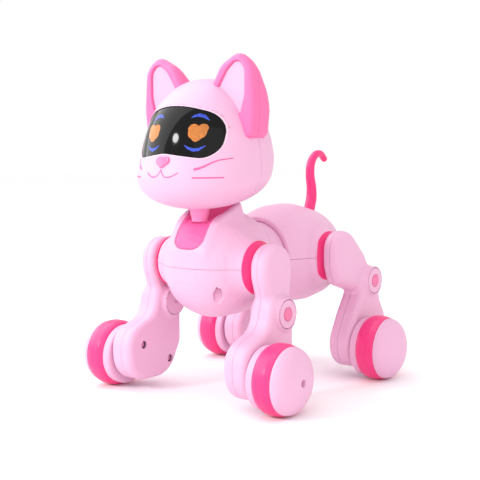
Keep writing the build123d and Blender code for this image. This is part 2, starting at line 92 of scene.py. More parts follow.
class Outline:
    """Signed distance to a closed flat outline of (across, up, corner radius) points."""
    ARC_STEPS = 10
    PITCH = 0.5
    MARGIN = 12.0

    def __init__(self, corners):
        line = self.rounded(corners)
        self.low = line.min(0) - self.MARGIN
        counts = np.ceil((line.max(0) + self.MARGIN - self.low) / self.PITCH).astype(int) + 1
        u = self.low[0] + self.PITCH * np.arange(counts[0])
        v = self.low[1] + self.PITCH * np.arange(counts[1])
        grid = np.stack(np.meshgrid(u, v, indexing="ij"), -1).reshape(-1, 2)
        self.table = self.distance(grid, line).reshape(counts)

    @classmethod
    def rounded(cls, corners):
        """The outline as a fine closed line, with an arc at each corner."""
        points = []
        count = len(corners)
        for i, (x, y, r) in enumerate(corners):
            here = np.array((x, y), float)
            back = np.array(corners[i - 1][:2]) - here
            ahead = np.array(corners[(i + 1) % count][:2]) - here
            back, ahead = back / np.linalg.norm(back), ahead / np.linalg.norm(ahead)
            if r == 0:
                points.append(here)
                continue
            half = np.arccos(np.clip(back @ ahead, -1, 1)) / 2
            middle = back + ahead
            centre = here + middle / np.linalg.norm(middle) * r / np.sin(half)
            first = here + back * r / np.tan(half) - centre
            last = here + ahead * r / np.tan(half) - centre
            turn = np.arctan2(first[0] * last[1] - first[1] * last[0], first @ last)
            for step in range(cls.ARC_STEPS + 1):
                a = turn * step / cls.ARC_STEPS
                points.append(centre + np.array((first[0] * cos(a) - first[1] * sin(a),
                                                 first[0] * sin(a) + first[1] * cos(a))))
        return np.array(points)

    @staticmethod
    def distance(grid, line):
        best = np.full(len(grid), 1e9)
        inside = np.zeros(len(grid), bool)
        for a, b in zip(line, np.roll(line, -1, 0)):
            edge = b - a
            length = edge @ edge
            if length < 1e-12:
                continue
            offset = grid - a
            share = np.clip(offset @ edge / length, 0, 1)
            best = np.minimum(best, np.hypot(*(offset - share[:, None] * edge).T))
            crosses = (a[1] > grid[:, 1]) != (b[1] > grid[:, 1])
            if a[1] != b[1]:
                inside ^= crosses & (grid[:, 0] < a[0] + (grid[:, 1] - a[1]) * edge[0] / edge[1])
        return np.where(inside, -best, best)

    def __call__(self, u, v):
        place = [(u - self.low[0]) / self.PITCH, (v - self.low[1]) / self.PITCH]
        kept = [np.clip(x, 0, n - 1.001) for x, n in zip(place, self.table.shape)]
        beyond = np.hypot(place[0] - kept[0], place[1] - kept[1]) * self.PITCH
        i, j = kept[0].astype(int), kept[1].astype(int)
        s, t = kept[0] - i, kept[1] - j
        table = self.table
        low = table[i, j] * (1 - s) + table[i + 1, j] * s
        high = table[i, j + 1] * (1 - s) + table[i + 1, j + 1] * s
        return low * (1 - t) + high * t + beyond


def gradient(shape, points, reach=0.05):
    result = np.empty_like(points)
    for axis in range(3):
        shift = np.zeros(3)
        shift[axis] = reach
        result[:, axis] = (shape(points + shift) - shape(points - shift)) / (2 * reach)
    return result


def settle(shape, points, rounds=3):
    """Points moved on to the shape's surface."""
    for _ in range(rounds):
        slope = gradient(shape, points)
        size = np.maximum((slope ** 2).sum(1), 0.05)
        points = points - slope * (shape(points) / size)[:, None]
    return points


def net(shape, low, high, step):
    """Vertices and quads of a shape's surface inside a box, one vertex to each grid cell it crosses."""
    low, high = np.array(low, float), np.array(high, float)
    counts = np.ceil((high - low) / step).astype(int) + 1
    axes = [low[i] + step * np.arange(counts[i]) for i in range(3)]
    value = np.empty(counts)
    for i, x in enumerate(axes[0]):
        y, z = np.meshgrid(axes[1], axes[2], indexing="ij")
        layer = np.stack((np.full(y.size, x), y.ravel(), z.ravel()), 1)
        value[i] = shape(layer).reshape(y.shape)
    inside = value < 0
    cells = tuple(counts - 1)
    total, hits = np.zeros(cells + (3,)), np.zeros(cells)
    for axis in range(3):
        others = [i for i in range(3) if i != axis]
        for corner in ((0, 0), (0, 1), (1, 0), (1, 1)):
            near = [slice(0, n) for n in cells]
            for which, shift in zip(others, corner):
                near[which] = slice(shift, cells[which] + shift)
            far = list(near)
            far[axis] = slice(1, cells[axis] + 1)
            a, b = value[tuple(near)], value[tuple(far)]
            crossed = inside[tuple(near)] != inside[tuple(far)]
            gap = np.where(crossed, a - b, 1)
            share = np.where(crossed, a / gap, 0)
            total[..., axis] += share
            for which, shift in zip(others, corner):
                total[..., which] += shift * crossed
            hits += crossed
    used = hits > 0
    number = np.full(cells, -1)
    number[used] = np.arange(used.sum())
    place = np.argwhere(used)
    points = low + step * (place + total[used] / hits[used][:, None])
    quads = []
    for axis in range(3):
        others = [i for i in range(3) if i != axis]
        near = [slice(1, n) for n in cells]
        near[axis] = slice(0, cells[axis])
        far = list(near)
        far[axis] = slice(1, cells[axis] + 1)
        a, b = inside[tuple(near)], inside[tuple(far)]
        at = np.argwhere(a != b)
        at[:, others] += 1
        leaving = a[tuple((at - np.array([0 if i == axis else 1 for i in range(3)])).T)]
        corners = []
        for shift in ((0, 0), (1, 0), (1, 1), (0, 1)):
            cell = at.copy()
            cell[:, others[0]] -= shift[0]
            cell[:, others[1]] -= shift[1]
            corners.append(number[tuple(cell.T)])
        quad = np.stack(corners, 1)
        flip = leaving != (axis != 1)
        quad[flip] = quad[flip][:, ::-1]
        quads.append(quad)
    return points, np.concatenate(quads)


def relaxed(shape, points, quads, rounds=2):
    """Points evened out along the surface, then settled on it again."""
    edges = np.concatenate([quads[:, [i, (i + 1) % 4]] for i in range(4)])
    for _ in range(rounds):
        total, count = np.zeros_like(points), np.zeros(len(points))
        np.add.at(total, edges[:, 0], points[edges[:, 1]])
        np.add.at(count, edges[:, 0], 1)
        drift = total / np.maximum(count, 1)[:, None] - points
        normal = gradient(shape, points)
        normal /= np.maximum(np.linalg.norm(normal, axis=1), 1e-6)[:, None]
        along = drift - (drift * normal).sum(1)[:, None] * normal
        points = settle(shape, points + 0.5 * along, 1)
    return points


def surface(shape, low, high, step):
    """Points and quads of a shape, smooth and settled on its surface."""
    points, quads = net(shape, low, high, step)
    points = settle(shape, points)
    points = relaxed(shape, points, quads)
    return settle(shape, points, 2), quads


# ---------------------------------------------------------------------------------------------------
# Stage: camera, light and floor
# ---------------------------------------------------------------------------------------------------

def make_camera():
    azimuth, elevation, roll = radians(37.532), radians(5.558), radians(-0.312)
    place = Vector((480.7, -642.2, 193.1)) * MM
    back = Vector((sin(azimuth) * cos(elevation), -cos(azimuth) * cos(elevation), sin(elevation)))
    right = Vector((cos(azimuth), sin(azimuth), 0))
    up = back.cross(right)
    across = right * cos(roll) + up * sin(roll)
    upward = up * cos(roll) - right * sin(roll)
    data = bpy.data.cameras.new("camera")
    data.lens, data.sensor_width = 74.585, 36.0
    camera = bpy.data.objects.new("camera", data)
    camera.matrix_world = Matrix.Translation(place) @ Matrix((across, upward, back)).transposed().to_4x4()
    bpy.context.scene.collection.objects.link(camera)
    bpy.context.scene.camera = camera


def toward(azimuth, elevation):
    """Unit direction from the toy; azimuth 0 is straight in front, and grows to the cat's left."""
    a, e = radians(azimuth), radians(elevation)
    return Vector((sin(a) * cos(e), -cos(a) * cos(e), sin(e)))


def lamp(name, shape, size, power, target, distance, outward, across):
    """An area light that faces the target from a distance away, its width lying along one direction."""
    data = bpy.data.lights.new(name, "AREA")
    data.shape, data.size, data.size_y, data.energy = shape, size[0], size[1], power
    light = bpy.data.objects.new(name, data)
    turn = Matrix((across, outward.cross(across), outward)).transposed().to_4x4()
    light.matrix_world = Matrix.Translation(target + distance * outward) @ turn
    bpy.context.scene.collection.objects.link(light)
    return light


def make_lights():
    """A lamp that shows as an oval in the visor, a slanted panel beside it, a soft fill and a white room."""
    face = Vector((0.0086, -0.1028, 0.1971))
    upright = Vector((0, 0, 1))
    ahead = toward(-24, 24.8)
    lamp("key_lamp", "ELLIPSE", (0.30, 0.21), 8.5, face, 1.5, ahead, ahead.cross(upright).normalized())
    edge_top, edge_foot = toward(-8, 62), toward(-42, 20)
    outside = edge_foot.cross(edge_top).normalized()
    outside *= 1 if outside.dot(toward(-90, 20)) > 0 else -1
    middle, half_angle = (edge_top + edge_foot).normalized(), radians(33)
    centre = middle * cos(half_angle) + outside * sin(half_angle)
    along_edge = middle.cross(outside)
    across = along_edge.cross(centre).normalized()
    panel = (1.56, 2.2)
    lamp("side_panel", "RECTANGLE", panel, 9.0, face, 1.2, centre, across)
    sheen = lamp("sheen_panel", "RECTANGLE", panel, 17.0, face, 1.21, centre, across)
    sheen.visible_diffuse = False
    ahead = toward(42, 14)
    lamp("fill_panel", "RECTANGLE", (2.0, 2.0), 8.0, face, 2.0, ahead, ahead.cross(upright).normalized())
    world = bpy.data.worlds.new("studio")
    world.use_nodes = True
    background = world.node_tree.nodes["Background"]
    background.inputs["Color"].default_value = (1.0, 1.0, 1.0, 1)
    background.inputs["Strength"].default_value = 1.0
    bpy.context.scene.world = world
    bpy.context.scene.view_settings.view_transform = "Standard"


def make_floor():
    """A pale round floor, wide enough to fill the view behind the toy."""
    rings, spokes, reach = 24, 96, 6.0
    points, faces = [(0.0, 0.0, 0.0)], []
    for ring in range(1, rings + 1):
        radius = reach * (ring / rings) ** 2
        turns = [2 * pi * k / spokes for k in range(spokes)]
        points += [(radius * cos(turn), radius * sin(turn), 0.0) for turn in turns]
    faces += [(0, 1 + k, 1 + (k + 1) % spokes) for k in range(spokes)]
    for ring in range(rings - 1):
        a, b = 1 + ring * spokes, 1 + (ring + 1) * spokes
        faces += [(a + k, b + k, b + (k + 1) % spokes, a + (k + 1) % spokes) for k in range(spokes)]
    mesh = bpy.data.meshes.new("floor")
    mesh.from_pydata(points, [], faces)
    material = bpy.data.materials.new("floor_paper")
    material.use_nodes = True
    shader = material.node_tree.nodes["Principled BSDF"]
    shader.inputs["Base Color"].default_value = (0.99, 0.99, 0.99, 1)
    shader.inputs["Roughness"].default_value = 0.9
    shader.inputs["Specular IOR Level"].default_value = 0.0
    mesh.materials.append(material)
    floor = bpy.data.objects.new("floor", mesh)
    bpy.context.scene.collection.objects.link(floor)


# ---------------------------------------------------------------------------------------------------
# Materials
# ---------------------------------------------------------------------------------------------------

def moulded(name, colour, roughness=0.45, coat=0.0, speckle=0.02, grain=900.0, bump=0.03, specular=0.35,
            painted_glow=0.0):
    """Moulded plastic: fine surface grain, slightly uneven gloss and a trace of colour variation; a glow
    strength above nought adds a painted glow in its own colour, light that comes from no lamp.
    """
    material = bpy.data.materials.new(name)
    material.use_nodes = True
    nodes, links = material.node_tree.nodes, material.node_tree.links
    shader = nodes["Principled BSDF"]
    place = nodes.new("ShaderNodeTexCoord")
    broad = nodes.new("ShaderNodeTexNoise")
    broad.inputs["Scale"].default_value = 22.0
    broad.inputs["Detail"].default_value = 3.0
    fine = nodes.new("ShaderNodeTexNoise")
    fine.inputs["Scale"].default_value = grain
    fine.inputs["Detail"].default_value = 2.0
    tint = nodes.new("ShaderNodeMix")
    tint.data_type = "RGBA"
    tint.inputs["A"].default_value = (*[c * (1 - speckle) for c in colour], 1)
    tint.inputs["B"].default_value = (*[min(c * (1 + speckle), 1) for c in colour], 1)
    gloss = nodes.new("ShaderNodeMapRange")
    gloss.inputs["To Min"].default_value = roughness - 0.05
    gloss.inputs["To Max"].default_value = roughness + 0.05
    relief = nodes.new("ShaderNodeBump")
    relief.inputs["Strength"].default_value = bump
    relief.inputs["Distance"].default_value = 0.0002
    links.new(place.outputs["Object"], broad.inputs["Vector"])
    links.new(place.outputs["Object"], fine.inputs["Vector"])
    links.new(broad.outputs["Fac"], tint.inputs["Factor"])
    links.new(tint.outputs["Result"], shader.inputs["Base Color"])
    links.new(broad.outputs["Fac"], gloss.inputs["Value"])
    links.new(gloss.outputs["Result"], shader.inputs["Roughness"])
    links.new(fine.outputs["Fac"], relief.inputs["Height"])
    links.new(relief.outputs["Normal"], shader.inputs["Normal"])
    shader.inputs["Coat Weight"].default_value = coat
    shader.inputs["Coat Roughness"].default_value = 0.15
    shader.inputs["Specular IOR Level"].default_value = specular
    # Emission in the base colour: a painted glow, light painted on to lift a part out of the shade it sits
    # in.
    shader.inputs["Emission Color"].default_value = (*colour, 1)
    shader.inputs["Emission Strength"].default_value = painted_glow
    return material


# ---------------------------------------------------------------------------------------------------
# Meshes from shapes
# ---------------------------------------------------------------------------------------------------

COARSE = 1.0


def normals_of(shape, points, reach=0.12):
    slope = gradient(shape, points, reach)
    return slope / np.maximum(np.linalg.norm(slope, axis=1), 1e-6)[:, None]


class Skin:
    """A closed surface mesh of a shape, that can be cut along planes and mirrored."""

    def __init__(self, shape, low, high, step, shading=None):
        self.shape = shape
        self.points, quads = surface(shape, low, high, step * COARSE)
        self.faces = [tuple(quad) for quad in quads.tolist()]
        self.normals = normals_of(shading or shape, self.points)
        self.flat = set()

    def copy(self):
        twin = object.__new__(Skin)
        twin.shape, twin.points, twin.faces = self.shape, self.points, list(self.faces)
        twin.normals, twin.flat = self.normals, set(self.flat)
        return twin

    def cut(self, axis, at, keep):
        """The part on the keep side (1 above, -1 below) of a plane, closed with a flat face on the cut."""
        bm = bmesh.new()
        for point in self.points:
            bm.verts.new(point)
        bm.verts.ensure_lookup_table()
        for face in self.faces:
            bm.faces.new([bm.verts[i] for i in face])
        normal = Vector([keep if i == axis else 0 for i in range(3)])
        place = Vector([at if i == axis else 0 for i in range(3)])
        bmesh.ops.bisect_plane(bm, geom=bm.verts[:] + bm.edges[:] + bm.faces[:], dist=1e-5,
                               plane_co=place, plane_no=normal, clear_inner=True)
        rim = [edge for edge in bm.edges if edge.is_boundary]
        bmesh.ops.triangle_fill(bm, edges=rim, use_beauty=True, use_dissolve=False, normal=-normal)
        bm.verts.index_update()
        bm.faces.index_update()
        part = object.__new__(Skin)
        part.shape = self.shape
        part.points = np.array([tuple(vertex.co) for vertex in bm.verts])
        part.faces, part.flat = [], set()
        for face in bm.faces:
            corners = [vertex.index for vertex in face.verts]
            on_cut = np.abs(part.points[corners, axis] - at).max() < 1e-4
            if on_cut:
                face.normal_update()
                if face.normal[axis] * keep > 0:
                    corners.reverse()
                part.flat.add(len(part.faces))
            part.faces.append(tuple(corners))
        bm.free()
        part.normals = normals_of(self.shape, part.points)
        return part

    def mirrored(self):
        twin = self.copy()
        flip = np.array((-1, 1, 1))
        twin.points, twin.normals = self.points * flip, self.normals * flip
        twin.faces = [tuple(reversed(face)) for face in self.faces]
        return twin

    def piece(self, name, body, slot, material, *replaced):
        mesh = bpy.data.meshes.new(name)
        mesh.from_pydata((self.points * MM).tolist(), [], self.faces)
        mesh.update()
        mesh.shade_smooth()
        corners = []
        for i, face in enumerate(self.faces):
            if i in self.flat:
                corners += [tuple(mesh.polygons[i].normal)] * len(face)
            else:
                corners += [tuple(self.normals[j]) for j in face]
        mesh.normals_split_custom_set(corners)
        return placed(name, mesh, body, slot, material, *replaced)


def placed(name, mesh, body, slot, material, *replaced):
    """A mesh made a piece of the toy that rides on a body, and stands for the replaced CAD nodes."""
    mesh.materials.append(material)
    piece = bpy.data.objects.new(name, mesh)
    bpy.context.scene.collection.objects.link(piece)
    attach(piece, body)
    if replaced:
        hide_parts(*replaced)
    return piece


def lathe(profile, axis, centre, segments=96):
    """Points and faces of a closed (along, radius) profile turned about a line along an axis."""
    others = [i for i in range(3) if i != axis]
    points, rings = [], []
    for along, radius in profile:
        if radius < 1e-6:
            point = [0.0] * 3
            point[axis], point[others[0]], point[others[1]] = along, centre[0], centre[1]
            rings.append([len(points)])
            points.append(point)
            continue
        ring = []
        for k in range(segments):
            a = 2 * pi * k / segments
            point = [0.0] * 3
            point[axis] = along
            point[others[0]] = centre[0] + radius * cos(a)
            point[others[1]] = centre[1] + radius * sin(a)
            ring.append(len(points))
            points.append(point)
        rings.append(ring)
    faces = []
    for a, b in zip(rings, rings[1:] + rings[:1]):
        if len(a) == 1 and len(b) == 1:
            continue
        for k in range(segments):
            n = (k + 1) % segments
            if len(a) == 1:
                faces.append((a[0], b[n], b[k]))
            elif len(b) == 1:
                faces.append((a[k], a[n], b[0]))
            else:
                faces.append((a[k], a[n], b[n], b[k]))
    return np.array(points), faces


def turned_piece(name, corners, axis, centre, body, slot, material, *replaced, side=1):
    """A lathe piece from (along, radius, corner radius) corners; side -1 mirrors it to the cat's right."""
    points, faces = lathe(Outline.rounded(corners), axis, centre)
    points = points * (side, 1, 1)
    mesh = bpy.data.meshes.new(name)
    mesh.from_pydata((points * MM).tolist(), [], faces)
    bm = bmesh.new()
    bm.from_mesh(mesh)
    bmesh.ops.recalc_face_normals(bm, faces=bm.faces[:])
    bm.to_mesh(mesh)
    bm.free()
    mesh.shade_smooth()
    mesh.set_sharp_from_angle(angle=radians(35))
    return placed(name, mesh, body, slot, material, *replaced)


# ---------------------------------------------------------------------------------------------------
# Legs
# ---------------------------------------------------------------------------------------------------

HIP_Z = 100.5
LEG_SEAM_X = 54.5
SEAM_HALF_GAP = 0.13
ARM_X, SHIN_X, KNEE_X = (47.1, 62.5), (45.0, 66.0), (41.5, 68.0)
LEG_WALL, LEG_SCREW_HOLE_R, LEG_SCREW_HOLE_DEPTH = 2.0, 3.0, 4.0
KNEE_R, KNEE_RECESS_R, KNEE_RECESS = 12.0, 10.8, 1.3
FRONT = {
    "axle": (-76.0, 26.0), "hip": (-49.0, HIP_Z), "knee": (-47.0, 67.5),
    "arm": [(-67.6, 119, 17.6), (-30.6, 119, 17.6), (-31, 92, 30), (-36, 62, 8), (-60, 62, 6),
            (-61.8, 78, 20), (-67.6, 95, 20)],
    "shin": [(-62.4, 80, 10), (-36, 80, 10), (-36, 33, 14), (-50, 8, 22), (-97.5, 8, 21.2),
             (-97.5, 46.5, 17), (-68.5, 58, 16)],
    "arm_rim": 7.0,
    "screws": [(-81.1, 36.7), (-50.8, 21.0)],
}
REAR = {
    "axle": (64.0, 26.0), "hip": (48.5, HIP_Z), "knee": (80.7, 78.2),
    "arm": [(30.2, 120.5, 15), (55.5, 122, 18), (77.5, 102, 15), (92.5, 78, 8), (82, 66, 7), (60, 71, 12),
            (36, 79, 12), (30.2, 94, 12)],
    "shin": [(68, 86, 8), (91, 84, 8), (94, 62, 16), (104.5, 46, 8), (89, 17, 14), (72, 8, 14),
             (42.5, 8, 19.5), (42.5, 34, 16), (54, 54, 20), (64, 68, 10)],
    "arm_rim": 9.5,
    "screws": [(58.9, 36.7), (88.0, 32.0)],
}


def leg_shape(leg):
    arm_outline, shin_outline = Outline(leg["arm"]), Outline(leg["shin"])
    knee = leg["knee"]

    def form(p):
        x = p[:, 0]
        flat = arm_outline(p[:, 1], p[:, 2])
        arm = common(common(flat, x - ARM_X[1], leg["arm_rim"]), ARM_X[0] - x, 4.5)
        flat = shin_outline(p[:, 1], p[:, 2])
        shin = common(common(flat, x - SHIN_X[1], 5.0), SHIN_X[0] - x, 5.0)
        barrel = rod(p, 0, knee, KNEE_R, *KNEE_X, 1.6)
        return joined(joined(arm, shin, 4.0), barrel, 3.5)

    def shell(p):
        skin = hollow(form(p), LEG_WALL)
        for low, high in ((KNEE_X[0] - 5, KNEE_X[0] + KNEE_RECESS), (KNEE_X[1] - KNEE_RECESS, KNEE_X[1] + 5)):
            skin = without(skin, rod(p, 0, knee, KNEE_RECESS_R, low, high), 0.25)
        for place in leg["screws"]:
            hole = rod(p, 0, place, LEG_SCREW_HOLE_R, SHIN_X[0] - 5, SHIN_X[0] + LEG_SCREW_HOLE_DEPTH)
            skin = without(skin, hole, 0.3)
        return skin

    return shell


def leg_limits(leg):
    outline = np.array([corner[:2] for corner in leg["arm"] + leg["shin"]])
    low, high = outline.min(0) - 3, outline.max(0) + 3
    return (KNEE_X[0] - 2, low[0], low[1]), (KNEE_X[1] + 2, high[0], high[1])


def make_legs(mats):
    for end, leg in (("front", FRONT), ("rear", REAR)):
        whole = Skin(leg_shape(leg), *leg_limits(leg), 0.8)
        inner = whole.cut(0, LEG_SEAM_X - SEAM_HALF_GAP, -1)
        outer = whole.cut(0, LEG_SEAM_X + SEAM_HALF_GAP, 1)
        for side_name, side in (("left", 1), ("right", -1)):
            name = f"{end}_{side_name}"
            for part, skin in (("inner", inner), ("outer", outer)):
                shown = skin if side > 0 else skin.mirrored()
                shown.piece(f"{name}_leg_{part}", f"{name}_leg", "shell_pink", mats["shell"],
                            f"{name}_leg_{part}_shell")
            make_knee_caps(name, leg, side, mats)
            make_wheel(name, end, leg, side, mats)
            make_hip_disc(name, leg, side, mats)


def make_knee_caps(name, leg, side, mats):
    outside, inside = KNEE_X[1], KNEE_X[0]
    disc, button = KNEE_RECESS_R - 0.3, 4.9
    face = [(outside - 1.2, 0, 0), (outside - 1.2, disc, 0.3), (outside - 0.1, disc, 0.45),
            (outside - 0.1, button + 0.5, 0.15), (outside - 0.7, button + 0.5, 0), (outside - 0.7, 0, 0)]
    turned_piece(f"{name}_knee_disc", face, 0, leg["knee"], f"{name}_leg", "shell_pink", mats["shell"],
                 f"{name}_knee_caps", side=side)
    dish = [(outside - 0.7, 0, 0), (outside - 0.7, button, 0.2), (outside + 0.25, button, 0.4),
            (outside + 0.1, button - 1.2, 1.0), (outside - 0.1, 0, 0)]
    turned_piece(f"{name}_knee_button", dish, 0, leg["knee"], f"{name}_leg", "rose_plastic", mats["rose"],
                 side=side)
    disc = KNEE_RECESS_R - 0.12
    back = [(inside + 1.2, 0, 0), (inside + 1.2, disc, 0.1), (inside + 0.1, disc, 0.15),
            (inside + 0.1, 1.7, 0.2), (inside + 1.0, 1.5, 0), (inside + 1.0, 0, 0)]
    turned_piece(f"{name}_knee_back", back, 0, leg["knee"], f"{name}_leg", "shell_pink", mats["shell"],
                 side=side)


def make_wheel(name, end, leg, side, mats):
    body, centre = f"{name}_wheel", leg["axle"]
    hub = [(50, 0, 0), (50, 3, 0.4), (66.6, 3, 0.3), (66.6, 23.3, 1.7), (73, 23.3, 0.4), (73, 21, 0),
           (89, 21, 0.3), (89, 0, 0)]
    turned_piece(f"{name}_hub", hub, 0, centre, body, "shell_pink", mats["shell"], f"{name}_wheel_hub",
                 side=side)
    tyre = [(73, 21, 0.3), (73, 23.9, 1.2), (76.5, 25.9, 8), (84, 26.15, 10), (89, 24.8, 1.0), (89, 21, 0.3)]
    turned_piece(f"{name}_tread", tyre, 0, centre, body, "tyre_pink", mats["tyre"], f"{name}_tyre", side=side)
    dome = [(89.2 + 11.9 * sin(a), 24.5 * cos(a) ** 0.9, 0) for a in np.linspace(0, 1.5707, 40)[:-1]]
    if end == "front":
        dome = [corner for corner in dome if corner[1] > 3.1]
        tip = dome[-1][0]
        dome += [(tip + 0.1, 2.9, 0), (tip - 0.4, 2.7, 0), (tip - 3.5, 2.7, 0), (tip - 3.5, 0, 0)]
    else:
        dome.append((101.1, 0, 0))
    cap = [(89.2, 0, 0)] + dome
    turned_piece(f"{name}_cap", cap, 0, centre, body, "shell_pink", mats["shell"], f"{name}_wheel_cap",
                 side=side)


def make_hip_disc(name, leg, side, mats):
    disc = [(41.6, 7.2, 0), (41.6, 20.3, 0.3), (42.2, 20.3, 0.5), (46.6, 14.2, 1.0), (46.6, 7.2, 0)]
    turned_piece(f"{name}_hip_ring", disc, 0, leg["hip"], "chassis", "hot_pink_plastic", mats["hot"],
                 f"{name}_hip_disc", side=side)


# ---------------------------------------------------------------------------------------------------
# Body
# ---------------------------------------------------------------------------------------------------

NECK_Y = -66.0
NECK_TOP_R, NECK_FOOT_R = 8.6, 6.2
CHEST = Outline([(-85, -41, 36), (-85, 41, 36), (-27, 41, 16), (-11, 29.2, 14), (16, 29.2, 2),
                 (16, -29.2, 2), (-11, -29.2, 14), (-27, -41, 16)])
RUMP = Outline([(5, -33, 1.6), (5, 33, 1.6), (24, 41, 40), (50, 42.2, 50), (83, 36.5, 26), (98, 18, 16),
                (98, -18, 16), (83, -36.5, 26), (50, -42.2, 50), (24, -41, 40)])
RUMP_DROP_Y, RUMP_DROP = 45, 0.055
RUMP_MOUTH = (-10, 12, 29.3)
COLLAR_SIDE = Outline([(-70, 90, 0), (-82.5, 112, 4), (-70.5, 135.5, 20), (-44, 148.5, 20), (-33.5, 148.3, 6),
                       (-24, 132, 12), (-16, 90, 0)])
COLLAR_PLAN = Outline([(-16, -100, 6), (16, -100, 6), (20.5, -68, 30), (22.5, -33.5, 15), (-22.5, -33.5, 15),
                       (-20.5, -68, 30)])
COLLAR_FLARE = 0.25
PIT_PLAN = Outline([(-13.8, -110, 0), (13.8, -110, 0), (13.8, -63, 14), (19, -54, 12), (19, -37.5, 13),
                    (-19, -37.5, 13), (-19, -54, 12), (-13.8, -63, 14)])
BIB_FRONT = Outline([(-14, 114.6, 11.5), (14, 114.6, 11.5), (21, 175, 0), (-21, 175, 0)])
BIB_RECESS, BIB_WALL, PIT_FLOOR_Z = 0.8, 1.6, 135.5
CHEST_WALL, RUMP_WALL = 3.0, 2.6
BREAST_SCREW, BREAST_SCREW_TOP, BREAST_BOSS_R, BREAST_HOLE_R = (22.7, -73.2), 87.5, 5.2, 3.1
BELLY_SCREW_X, BELLY_SCREW_TOP, BELLY_HOLE_R = 24, 82, 2.3
CHEST_BELLY_SCREW_Y, RUMP_BELLY_SCREW_Y = -22, 76
SCREW_HEAD_R, SCREW_HEAD_LENGTH = 2.1, 1.8
PANEL = Outline([(-11, 66, 3), (11, 66, 3), (11, 90, 3), (-11, 90, 3)])
PANEL_DEPTH = 0.3
DOOR = Outline([(-15, 28, 3), (15, 28, 3), (15, 70, 3), (-15, 70, 3)])
TAIL_FOOT, TAIL_HOLE_R = (0, 82.5), 5.3
HIP_PAD_R = 19.6


def about_middle(p, outline):
    """A half section turned about the body's level middle line."""
    return outline(p[:, 1], np.hypot(p[:, 0], p[:, 2] - HIP_Z))


def pads(p, form, hip, fillet):
    x = np.abs(p[:, 0])
    side = np.hypot(p[:, 1] - hip[0], p[:, 2] - hip[1]) - HIP_PAD_R
    pad = common(side, np.maximum(x - 41.5, 15 - x), 0.6)
    return joined(form, pad, fillet)


def collar_shape(p):
    """The ridge that rises round the bib and the neck, with walls that lean out below its crest."""
    x, y, z = p.T
    side = COLLAR_SIDE(y, z)
    plan = (COLLAR_PLAN(x, y) + COLLAR_FLARE * np.clip(side, -18, 0)) * 0.94
    return common(plan, side, 2.0)


def chest_skin(p):
    body = about_middle(p, CHEST)
    body = joined(body, collar_shape(p), 3.0)
    return pads(p, body, FRONT["hip"], 6.0)


def bib_region(p):
    return common(BIB_FRONT(p[:, 0], p[:, 2]), PIT_PLAN(p[:, 0], p[:, 1]), 1.5)


def above_bib(p, skin):
    """Everything over the bib's face, from its recessed front to the pit round the neck."""
    return joined(-(skin + BIB_RECESS), PIT_FLOOR_Z - p[:, 2], 5.0)


def belly_screw_hole(p, side, y):
    return rod(p, 2, (side * BELLY_SCREW_X, y), BELLY_HOLE_R, 40, BELLY_SCREW_TOP)


def chest_shell(p):
    skin = chest_skin(p)
    panel = PANEL(p[:, 0], p[:, 2])
    skin = skin + PANEL_DEPTH * np.clip(0.5 - panel / 0.8, 0, 1) * (p[:, 1] < -60)
    shell = hollow(skin, CHEST_WALL)
    over = np.minimum(-(skin + CHEST_WALL + 0.8), PIT_FLOOR_Z - 2.0 - p[:, 2])
    shell = without(shell, common(bib_region(p), over, 0.1), 0.5)
    shell = without(shell, rod(p, 0, FRONT["hip"], 7.3, -50, 50), 0.3)
    for side in (-1, 1):
        place = (side * BREAST_SCREW[0], BREAST_SCREW[1])
        shell = np.minimum(shell, np.maximum(rod(p, 2, place, BREAST_BOSS_R, 70, HIP_Z - 1), skin + 0.4))
        shell = without(shell, rod(p, 2, place, BREAST_HOLE_R, 60, BREAST_SCREW_TOP), 0.5)
        shell = without(shell, belly_screw_hole(p, side, CHEST_BELLY_SCREW_Y), 0.35)
    slot = common(np.abs(p[:, 0]) - 2.3, between(p[:, 1], -34.1, -25.9), 0.8)
    return without(shell, np.maximum(slot, p[:, 2] - 66), 0.4)


def bib_shape(p):
    skin = chest_skin(p)
    region = bib_region(p) + 0.15
    body = common(region, skin + BIB_RECESS, 0.3)
    cup = common(region + BIB_WALL, above_bib(p, skin), 2.0)
    body = without(body, cup, 0.4)
    inside = common(skin + BIB_RECESS + 1.8, p[:, 2] - (PIT_FLOOR_Z - 1.8), 0.5)
    body = without(body, inside, 0.2)
    return without(body, rod(p, 2, (0, NECK_Y), NECK_FOOT_R + 0.2, 134.4, 200), 0.1)


def rump_skin(p):
    drop = RUMP_DROP * np.maximum(p[:, 1] - RUMP_DROP_Y, 0)
    body = RUMP(p[:, 1], np.hypot(p[:, 0], p[:, 2] - HIP_Z + drop))
    body = pads(p, body, REAR["hip"], 6.0)
    return common(body, 60.5 - p[:, 2], 3.0)


def rump_shell(p):
    skin = rump_skin(p)
    shell = hollow(skin, RUMP_WALL)
    mouth = rod(p, 1, (0, HIP_Z), RUMP_MOUTH[2], RUMP_MOUTH[0], RUMP_MOUTH[1])
    shell = without(shell, mouth, 0.4)
    shell = without(shell, rod(p, 0, REAR["hip"], 7.3, -50, 50), 0.3)
    shell = without(shell, np.maximum(DOOR(p[:, 0], p[:, 1]), p[:, 2] - 72), 0.3)
    for side in (-1, 1):
        shell = without(shell, belly_screw_hole(p, side, RUMP_BELLY_SCREW_Y), 0.35)
    return without(shell, rod(p, 2, TAIL_FOOT, TAIL_HOLE_R, 125, 170), 0.5)


def door_shape(p):
    skin = common(rump_skin(p), DOOR(p[:, 0], p[:, 1]) + 0.25, 0.4)
    grip = common(common(np.abs(p[:, 0]) - 5, between(p[:, 1], 62, 65.5), 1.2), p[:, 2] - 61.6, 0.4)
    return without(common(skin, p[:, 2] - 63.0, 0.3), grip, 0.3)


